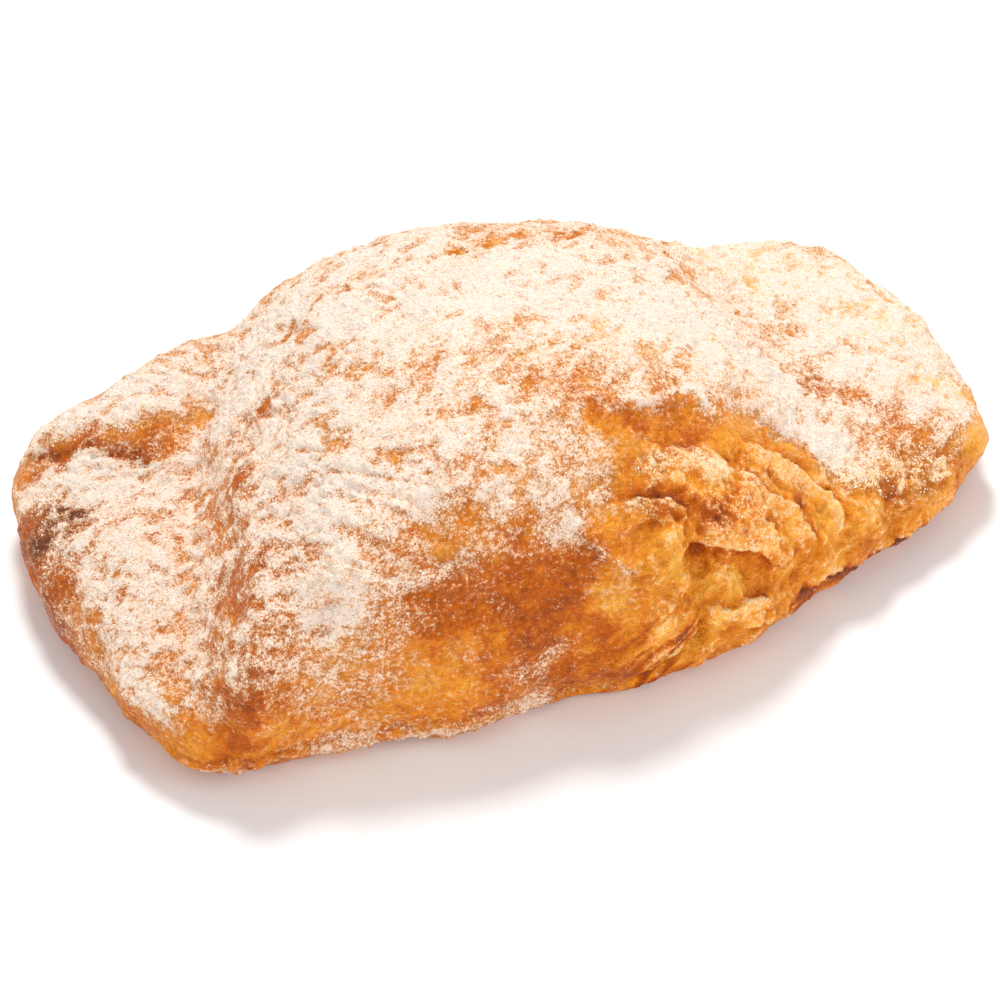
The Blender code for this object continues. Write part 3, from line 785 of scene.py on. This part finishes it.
def scatter_tree(name, shape, material):
    """Scatters a small shape over a skin, thickest where its dusting is."""
    tree = bpy.data.node_groups.new(name, "GeometryNodeTree")
    face = tree.interface
    face.new_socket("Skin", in_out="INPUT", socket_type="NodeSocketGeometry")
    for label, kind in (
        ("Per Square Metre", "NodeSocketFloat"),
        ("Least Sugar", "NodeSocketFloat"),
        ("Most Sugar", "NodeSocketFloat"),
        ("Radius", "NodeSocketFloat"),
        ("Patch Size", "NodeSocketFloat"),
        ("Seed", "NodeSocketInt"),
    ):
        face.new_socket(label, in_out="INPUT", socket_type=kind)
    face.new_socket("Sugar", in_out="OUTPUT", socket_type="NodeSocketGeometry")
    nodes, links = tree.nodes, tree.links

    def add(kind, settings=None, inputs=None):
        """A node with its settings, and values or links for its sockets."""
        node = nodes.new(kind)
        for key, value in (settings or {}).items():
            setattr(node, key, value)
        for key, value in (inputs or {}).items():
            if isinstance(value, bpy.types.NodeSocket):
                links.new(value, node.inputs[key])
            else:
                node.inputs[key].default_value = value
        return node

    given = add("NodeGroupInput").outputs
    sugar = add(
        "GeometryNodeInputNamedAttribute", {"data_type": "FLOAT"}, {"Name": "dusting"}
    ).outputs["Attribute"]
    share = add(
        "ShaderNodeMapRange",
        {"interpolation_type": "SMOOTHSTEP"},
        {"Value": sugar, "From Min": given["Least Sugar"], "From Max": given["Most Sugar"]},
    ).outputs["Result"]
    fineness = add("ShaderNodeMath", {"operation": "DIVIDE"}, {0: 1.0, 1: given["Patch Size"]})
    patches = add("ShaderNodeTexNoise", inputs={"Scale": fineness.outputs[0], "Detail": 2.0})
    in_patch = add(
        "ShaderNodeMapRange",
        {"interpolation_type": "SMOOTHSTEP"},
        {"Value": patches.outputs["Fac"], "From Min": 0.38, "From Max": 0.62, "To Min": 0.15},
    ).outputs["Result"]
    factor = add("ShaderNodeMath", {"operation": "MULTIPLY"}, {0: share, 1: in_patch})
    density = add(
        "ShaderNodeMath",
        {"operation": "MULTIPLY"},
        {0: factor.outputs[0], 1: given["Per Square Metre"]},
    )
    spread = add(
        "GeometryNodeDistributePointsOnFaces",
        {"distribute_method": "RANDOM"},
        {"Mesh": given["Skin"], "Density": density.outputs[0], "Seed": given["Seed"]},
    )
    turn = add(
        "FunctionNodeRandomValue",
        {"data_type": "FLOAT_VECTOR"},
        {"Min": (0, 0, 0), "Max": (FULL_TURN, FULL_TURN, FULL_TURN)},
    )
    size = add(
        "FunctionNodeRandomValue",
        {"data_type": "FLOAT_VECTOR"},
        {"Min": (0.7, 0.7, 0.6), "Max": (1.2, 1.2, 1.0)},
    )
    scale = add(
        "ShaderNodeVectorMath",
        {"operation": "SCALE"},
        {0: size.outputs["Value"], "Scale": given["Radius"]},
    )
    laid = add(
        "GeometryNodeInstanceOnPoints",
        inputs={
            "Points": spread.outputs["Points"],
            "Instance": add(*shape).outputs["Mesh"],
            "Rotation": turn.outputs["Value"],
            "Scale": scale.outputs[0],
        },
    )
    solid = add("GeometryNodeRealizeInstances", inputs={"Geometry": laid.outputs[0]})
    smooth = add("GeometryNodeSetShadeSmooth", inputs={"Geometry": solid.outputs[0]})
    coated = add(
        "GeometryNodeSetMaterial", inputs={"Geometry": smooth.outputs[0], "Material": material}
    )
    add("NodeGroupOutput", inputs={"Sugar": coated.outputs[0]})
    return tree


def scattered(name, tree, **amounts):
    """A plain mesh of what the tree scatters over the crust."""
    piece = bpy.data.objects.new(name, crust.data.copy())
    bpy.context.scene.collection.objects.link(piece)
    modifier = piece.modifiers.new(name, "NODES")
    modifier.node_group = tree
    for item in tree.interface.items_tree:
        label = item.name.lower().replace(" ", "_")
        if item.in_out == "INPUT" and label in amounts:
            modifier[item.identifier] = amounts[label]
    bake_modifiers(piece)
    return piece


powder = Finish("icing_sugar")
cloudy = powder.blend(colour(254, 222, 194), colour(255, 237, 218), powder.speckle(0.5))
sugar_white = powder.surface(
    {
        "Base Color": cloudy,
        "Roughness": 0.85,
        "Subsurface Weight": 0.2,
        "Subsurface Radius": (1.0, 0.9, 0.8),
        "Subsurface Scale": 0.0004,
    },
    (powder.speckle(0.15), 0.03),
)

OCTAHEDRON = ("GeometryNodeMeshUVSphere", None, {"Segments": 4, "Rings": 2, "Radius": 1.0})
PEBBLE = ("GeometryNodeMeshIcoSphere", None, {"Subdivisions": 1, "Radius": 1.0})

grains = scattered(
    "sugar_grains",
    scatter_tree("sieved_grains", OCTAHEDRON, sugar_white),
    per_square_metre=3.2e6,
    least_sugar=0.2,
    most_sugar=0.8,
    radius=0.13 * MM,
    patch_size=1.6 * MM,
    seed=3,
)
clots = scattered(
    "sugar_clots",
    scatter_tree("sugar_clots", PEBBLE, sugar_white),
    per_square_metre=2.1e6,
    least_sugar=0.2,
    most_sugar=0.9,
    radius=0.19 * MM,
    patch_size=2.4 * MM,
    seed=8,
)
for piece in (grains, clots):
    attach(piece, "root")

# ---------------------------------------------------------------------------------------------
# The table, the light and the view. The table is matt white. One strong light hangs above and
# behind the pastry, two weak ones stand in front, and the camera looks down on the burst side.
# ---------------------------------------------------------------------------------------------

REACH = 3
MIDDLE = (0, 0, 0.02)
WHITE = (0.94, 0.94, 0.94, 1.0)
floor_mesh = bpy.data.meshes.new("floor")
floor_mesh.from_pydata(
    [(-REACH, -REACH, 0), (REACH, -REACH, 0), (REACH, REACH, 0), (-REACH, REACH, 0)],
    [],
    [(0, 1, 2, 3)],
)
floor = bpy.data.objects.new("floor", floor_mesh)
bpy.context.scene.collection.objects.link(floor)
paper = Finish("white_table")
floor_mesh.materials.append(paper.surface({"Base Color": WHITE, "Roughness": 0.9}))


def aim(thing, place, target):
    """Puts a light or a camera in its place, looking at the target."""
    thing.location = place
    thing.rotation_mode = "QUATERNION"
    thing.rotation_quaternion = (Vector(target) - Vector(place)).to_track_quat("-Z", "Y")


def softbox(name, place, size, watts):
    """A round soft light that looks at the pastry."""
    light = bpy.data.lights.new(name, "AREA")
    light.shape = "DISK"
    light.size = size
    light.energy = watts
    thing = bpy.data.objects.new(name, light)
    bpy.context.scene.collection.objects.link(thing)
    aim(thing, place, MIDDLE)


softbox("overhead", (0.15, 0.42, 0.75), 0.25, 5.5)
softbox("left front", (-0.5, -0.7, 0.35), 0.5, 2.35)
softbox("right front", (0.6, -0.6, 0.35), 0.5, 2.0)

world = bpy.data.worlds.new("studio")
world.use_nodes = True
sky = world.node_tree.nodes["Background"].inputs
sky["Color"].default_value = (1, 1, 1, 1)
sky["Strength"].default_value = 0.58
bpy.context.scene.world = world
bpy.context.scene.view_settings.view_transform = "Standard"

VIEW_AZIMUTH = math.radians(-28)
VIEW_ELEVATION = math.radians(42)
VIEW_DISTANCE = 0.5028
VIEW_TARGET = Vector((-7.09, -8.58, 12.57)) * MM
HALF_VIEW = 0.14497 / 2  # half of what the frame spans at the target

camera = bpy.data.cameras.new("camera")
camera.sensor_width = 36
camera.lens = camera.sensor_width / 2 * VIEW_DISTANCE / HALF_VIEW
camera.clip_start = 0.01
eye = bpy.data.objects.new("camera", camera)
bpy.context.scene.collection.objects.link(eye)
back = Vector(
    (
        math.sin(VIEW_AZIMUTH) * math.cos(VIEW_ELEVATION),
        -math.cos(VIEW_AZIMUTH) * math.cos(VIEW_ELEVATION),
        math.sin(VIEW_ELEVATION),
    )
)
aim(eye, VIEW_TARGET + back * VIEW_DISTANCE, VIEW_TARGET)
bpy.context.scene.camera = eye
